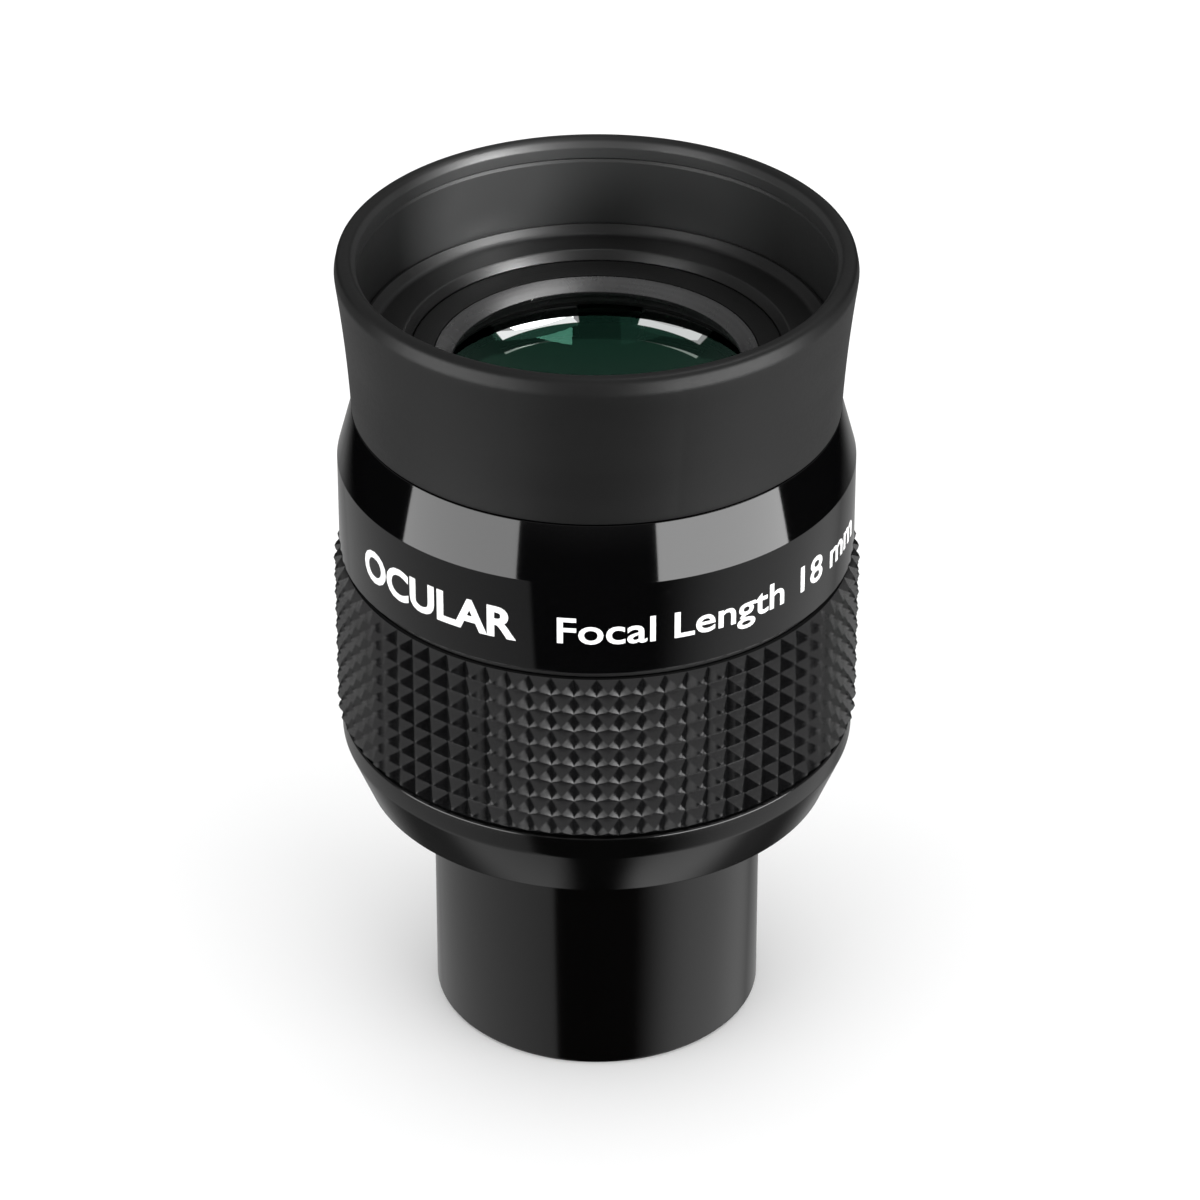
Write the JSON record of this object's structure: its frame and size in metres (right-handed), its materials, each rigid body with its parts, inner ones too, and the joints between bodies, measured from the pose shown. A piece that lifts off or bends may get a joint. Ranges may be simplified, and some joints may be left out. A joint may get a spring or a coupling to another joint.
{
  "type": "telescope eyepiece",
  "caption": "Round telescope eyepiece with a smooth insertion barrel, a knurled rubber grip, a glossy marking band and a fold-down rubber eyecup round a coated lens.",
  "frame": {"origin": "centre of the barrel's open lower end, where the eyepiece stands", "axes": "+Z along the optical axis, from the barrel up to the eyecup; -Y faces the reader of the markings"},
  "size_m": [0.05, 0.05, 0.0813],
  "materials": {
    "barrel_anodised": "satin black anodised, fine turned lines",
    "housing_anodised": "satin black anodised",
    "housing_gloss": "gloss black anodised",
    "inner_black": "matte black anodised against stray light",
    "retainer_anodised": "dark grey anodised with turned rings",
    "grip_rubber": "moulded pyramids, matte",
    "eyecup_rubber": "soft matte rubber",
    "seal_rubber": "matte",
    "lens_glass": "multi-coated, green reflection",
    "shim_brass": "rolled sheet",
    "screw_steel": "plain"
  },
  "bodies": {
    "housing": {"lower_housing": "housing_anodised", "grip_sleeve": "grip_rubber", "housing_seal_ring": "seal_rubber", "upper_housing": "housing_gloss", "eyecup_clamp_ring": "inner_black", "cell_shim": "shim_brass", "lens_cell": "inner_black", "field_baffle": "inner_black", "field_flint": "lens_glass", "field_crown": "lens_glass", "lower_spacer": "inner_black", "middle_crown": "lens_glass", "middle_flint": "lens_glass", "upper_spacer": "inner_black", "eye_lens": "lens_glass", "eye_lens_o_ring": "seal_rubber", "eye_lens_retainer": "retainer_anodised", "grub_screws": "screw_steel", "eyecup_base": "eyecup_rubber", "eyecup_skirt": "eyecup_rubber"},
    "eyecup": {"eyecup_lip": "eyecup_rubber"},
    "field_stop": {"field_stop": "inner_black"},
    "barrel": {"barrel_tube": "barrel_anodised", "field_stop_lock_ring": "inner_black"}
  },
  "joints": [
    {"name": "eyecup_fold", "type": "slide", "parent": "housing", "child": "eyecup", "axis": [0, 0, -1], "range_m": [0, 0.006], "deforming": ["eyecup_skirt"]},
    {"name": "barrel_travel", "type": "slide", "parent": "housing", "child": "field_stop", "axis": [0, 0, -1], "range_m": [0, 0.0046]},
    {"name": "barrel_unscrew", "type": "hinge", "parent": "field_stop", "child": "barrel", "pos_m": [0, 0, 0.0125], "axis": [0, 0, -1], "range_deg": [0, 2160]}
  ],
  "couplings": [
    {"joint": "barrel_travel", "follows": "barrel_unscrew", "m_per_rad": 0.00011937}
  ]
}
